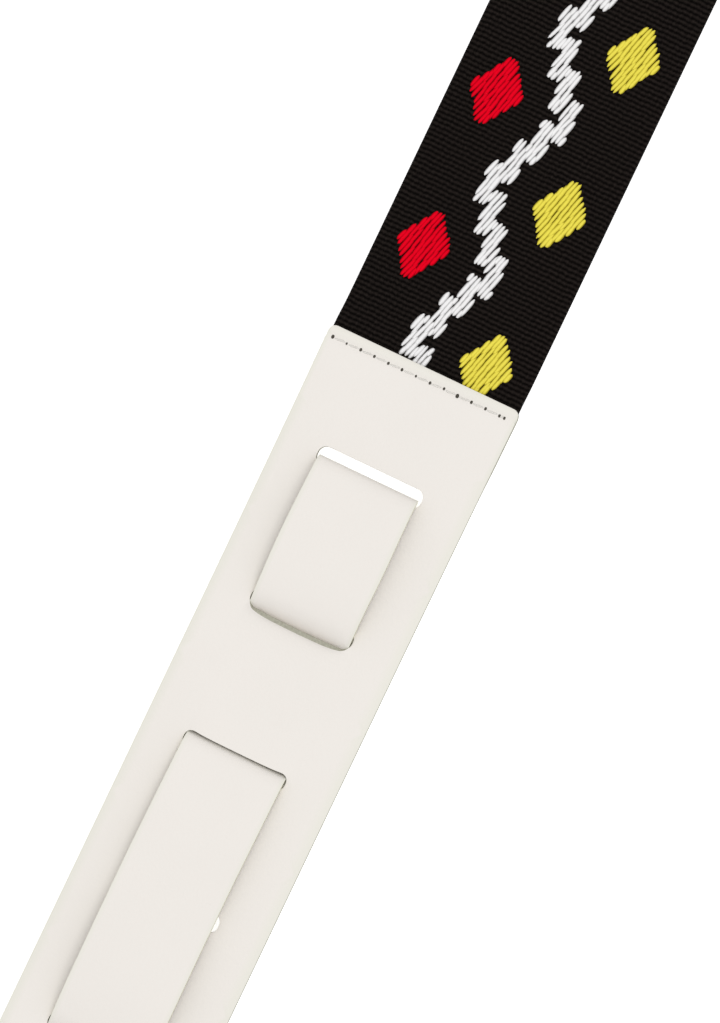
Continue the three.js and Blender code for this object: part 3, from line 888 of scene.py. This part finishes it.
valley_z = face_top + float(seam_puff(np.array(stitch_inset)))
stitch_row(
    "ladder_needle_stitches", stitch_inset, valley_z + thread_rise, 1, to_ladder, "ladder",
    "ladder_needle_thread",
)
stitch_row(
    "ladder_bobbin_stitches", stitch_inset, lining_low - bobbin_drop, -1, to_ladder, "ladder",
    "ladder_bobbin_thread",
)
needle_holes("ladder_needle_holes", stitch_inset, valley_z + hole_rise, 1, to_ladder, "ladder", 3)

# ---------------------------------------------------------------------------------------
# Tail and paddle: one thick strip of the same leather. Its free tip dives into the first
# slot, it passes over and under the ladder, and past the ladder's end it widens into the
# paddle, which is punched with a round button hole and a slit.

tail_half = 13.5 * mm
tail_thick = 2.0 * mm
tail_flat_z = tail_thick / 2
paddle_low, paddle_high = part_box("paddle")
paddle_half = paddle_high[1]
tail_hinge = seam_x - paddle_high[0] - 0.5 * mm
paddle_end = seam_x - paddle_low[0]
flare_start = tail_hinge + 12 * mm
flare_end = flare_start + 32 * mm
tail_edge = raw_edge_finish("tail_edge", (0.75, 0.73, 0.6), (0.64, 0.62, 0.49))
tail_edge_round = 0.62 * mm
tip_flat = 0.5 * mm
flare_rows = 41
button_radius = 4.2 * mm
button_from_tip = 19 * mm
slit_length = 11 * mm
slit_half = 0.7 * mm

# The tail's middle line in side view: where it is along the ladder, its height, its slope.
deg = math.radians
slots = slot_centres
tail_knots = np.array([
    [slots[0] + 1.15 * mm, 0.7 * mm, deg(90)],
    [slots[0] + 1.15 * mm, 4.7 * mm, deg(88)],
    [slots[0] + 3.9 * mm, 7.2 * mm, deg(10)],
    [slots[0] + 19.0 * mm, 8.0 * mm, deg(-1)],
    [slots[1] - 3.3 * mm, 6.1 * mm, deg(-19)],
    [slots[1] + 1.5 * mm, 3.45 * mm, deg(-33)],
    [slots[1] + 3.2 * mm, 2.3 * mm, deg(-33)],
    [slots[1] + 6.8 * mm, tail_flat_z, 0],
    [slots[2] - 3.8 * mm, tail_flat_z, 0],
    [slots[2] - 1.1 * mm, 2.6 * mm, deg(64)],
    [slots[2] - 0.5 * mm, 3.9 * mm, deg(60)],
    [slots[2] + 2.2 * mm, 5.7 * mm, deg(10)],
    [slots[3] - 4.0 * mm, 7.0 * mm, deg(0)],
    [slots[4] - 3.3 * mm, 6.1 * mm, deg(-17)],
    [slots[4] + 1.5 * mm, 3.45 * mm, deg(-33)],
    [slots[4] + 3.2 * mm, 2.3 * mm, deg(-33)],
    [slots[4] + 6.8 * mm, tail_flat_z, 0],
    [flare_start, tail_flat_z, 0],
])


def side_curve(knots, step):
    """A smooth line through knots of place, height and slope: a cubic arc between each pair,
    with handles a little over a third of the gap; sampled about every step."""
    starts, ends = knots[:-1], knots[1:]
    gap = np.linalg.norm(ends[:, :2] - starts[:, :2], axis=1)
    turn = np.abs(ends[:, 2] - starts[:, 2])
    handle = gap * (0.333 + 0.05 * turn)
    pieces = []
    for p, q, h, g in zip(starts, ends, handle, gap):
        t = np.linspace(0, 1, max(4, round(g / step)) + 1)[:-1, None]
        out = p[:2] + h * np.array([math.cos(p[2]), math.sin(p[2])])
        back = q[:2] - h * np.array([math.cos(q[2]), math.sin(q[2])])
        pieces.append(
            (1 - t) ** 3 * p[:2] + 3 * (1 - t) ** 2 * t * out + 3 * (1 - t) * t * t * back + t ** 3 * q[:2]
        )
    return np.vstack(pieces + [knots[-1:, :2]])


def button_hole_outline(centre, across, along):
    """A round hole and its slit as one outline: the tip side, one flank, the slit's end and
    the other flank, each with as many points as the side of the cell that it faces."""
    corner = deg(50)
    far = np.interp(across[:-1], [0, 1], [-corner, corner])
    far_side = np.column_stack([np.cos(far), np.sin(far)]) * button_radius
    opening = math.pi - math.asin(slit_half / button_radius)
    arc = np.linspace(corner, opening, 12)
    flank = np.vstack([
        np.column_stack([np.cos(arc), np.sin(arc)]) * button_radius,
        [[-slit_length, slit_half]],
    ])
    run = np.concatenate([[0], np.cumsum(np.linalg.norm(np.diff(flank, axis=0), axis=1))])
    at = along[:-1] * run[-1]
    flank = np.column_stack([np.interp(at, run, flank[:, 0]), np.interp(at, run, flank[:, 1])])
    close = np.interp(across[:-1], [0, 1], [slit_half, -slit_half])
    slit_end = np.column_stack([np.full(len(close), -slit_length), close])
    mirrored = np.vstack([[[-slit_length, slit_half]], flank[::-1]])[:-1] * [1, -1]
    return np.vstack([far_side, flank, slit_end, mirrored]) + [centre, 0]


def paddle_half_width(a):
    """Half the strip's width: the tail's, then a soft S out to the paddle's."""
    share = np.clip((a - flare_start) / (flare_end - flare_start), 0, 1)
    return tail_half + (paddle_half - tail_half) * share ** 2 * (3 - 2 * share)


strip_fractions = spread(20)
line = side_curve(tail_knots, 0.55 * mm)
strip_run = np.concatenate([[0], np.cumsum(np.linalg.norm(np.diff(line, axis=0), axis=1))])
home = np.clip((flare_start - line[:, 0]) / (flare_start - slots[5]), 0, 1)
swell = np.exp(-((line[:, 0] - slots[0] - 20 * mm) / (11 * mm)) ** 2)
half_width = tail_half - 0.9 * mm * np.exp(-strip_run / (1.6 * mm)) + 0.25 * mm * swell
sway = slot_side * home ** 2 * (3 - 2 * home)
sway -= 0.3 * mm * np.exp(-((line[:, 0] - slots[3] + 4 * mm) / (20 * mm)) ** 2)
strip_y = half_width[:, None] * (2 * strip_fractions - 1)[None, :] + sway[:, None]
strip = np.stack([
    np.broadcast_to(line[:, :1], strip_y.shape), strip_y, np.broadcast_to(line[:, 1:], strip_y.shape),
], -1).reshape(-1, 3)
strip_flat = np.column_stack([np.repeat(strip_run, strip_y.shape[1]), strip_y.ravel()])
strip_faces = grid_faces(len(line), strip_y.shape[1])

flare_a = np.linspace(flare_start, flare_end, flare_rows)
flare_y = paddle_half_width(flare_a)[:, None] * (2 * strip_fractions - 1)[None, :]
flare = np.stack([
    np.broadcast_to(flare_a[:, None], flare_y.shape), flare_y, np.full(flare_y.shape, tail_flat_z),
], -1).reshape(-1, 3)
flare_flat = np.column_stack([
    np.repeat(flare_a - flare_start + strip_run[-1], flare_y.shape[1]), flare_y.ravel(),
])

button_a = paddle_end - button_from_tip
round_fractions = spread(36)
hole = button_hole_outline(button_a, strip_fractions, round_fractions)
outline = rounded_box(
    flare_end, paddle_end, -paddle_half, paddle_half, 0, paddle_half - tip_flat,
    strip_fractions, round_fractions,
)
cell, cell_faces = ring_cell(hole, outline, np.array([0, 0.05, 0.12, 0.25, 0.5, 0.75, 0.95, 1.0]))
cell_points = np.column_stack([cell, np.full(len(cell), tail_flat_z)])
cell_flat = cell + [strip_run[-1] - flare_start, 0]

parts = [(strip, strip_faces), (flare, grid_faces(flare_rows, flare_y.shape[1])), (cell_points, cell_faces)]
tail_points, tail_faces = join(parts)
tail_flat = np.vstack([strip_flat, flare_flat, cell_flat])
tail_middle = np.concatenate([np.repeat(sway, strip_y.shape[1]), np.zeros(len(flare) + len(cell))])
from_edge = paddle_half_width(tail_points[:, 0]) - np.abs(tail_points[:, 1] - tail_middle)
tail_rim = np.clip(1.15 - from_edge / (0.9 * mm), 0, 1)
tail = leather_sheet(
    "tail_and_paddle_leather", tail_flat, to_ladder(*tail_points.T), tail_faces, tail_thick, 0,
    face_leather, tail_edge, tail_edge_round, tail_rim,
)
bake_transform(tail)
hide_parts("tail_weave", "tail_run", "paddle")

# ---------------------------------------------------------------------------------------
# Tab: the plain leather end, face and lining, sewn round the webbing like the ladder and
# rounded at its tip, with a button hole punched through both plies.

tab_high_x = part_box("tab_face")[1][0]
tab_length = tab_high_x - tab_seam_x
tab_face_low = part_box("tab_face")[0][2]
tab_lining_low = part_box("tab_lining")[0][2]
tab_button_a = tab_length - button_from_tip


def to_tab(a, y, z):
    """From the leather end's own frame to the strap's."""
    return np.column_stack([tab_seam_x + a, y, z])


hole = button_hole_outline(tab_button_a, across_fractions, round_fractions)
outline = rounded_box(
    seam_patch, tab_length, -leather_half, leather_half, 0, leather_half - tip_flat,
    across_fractions, round_fractions,
)
cell, cell_faces = ring_cell(
    hole, outline, np.array([0, 0.02, 0.06, 0.12, 0.22, 0.34, 0.46, 0.58, 0.7, 0.82, 0.92, 1.0])
)
flat, faces = join([seam_grid(seam_patch), (cell, cell_faces)])
a, y = flat.T
step_share = np.clip((a - step_start) / (step_end - step_start), 0, 1)
drop = (face_bottom - tab_face_low) * (1 - np.cos(np.pi * step_share)) / 2
tab_face = leather_sheet(
    "tab_face_leather", flat, to_tab(a, y, face_top + seam_puff(a) - drop), faces, face_thick, -1,
    face_leather, raw_edge_and_painted_shade, edge_round, edge_tone(a, y),
)
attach(tab_face, "tab")
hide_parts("tab_face")
tab_lining = leather_sheet(
    "tab_lining_leather", flat, to_tab(a, y, np.full(len(a), tab_lining_low + lining_thick)), faces,
    lining_thick, -1, lining_leather, raw_edge_and_painted_shade, lining_edge_round, edge_tone(a, y),
)
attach(tab_lining, "tab")
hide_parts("tab_lining")
stitch_row(
    "tab_needle_stitches", stitch_inset, valley_z + thread_rise, 1, to_tab, "tab", "tab_needle_thread"
)
stitch_row(
    "tab_bobbin_stitches", stitch_inset, lining_low - bobbin_drop, -1, to_tab, "tab", "tab_bobbin_thread"
)
needle_holes("tab_needle_holes", stitch_inset, valley_z + hole_rise, 1, to_tab, "tab", 4)
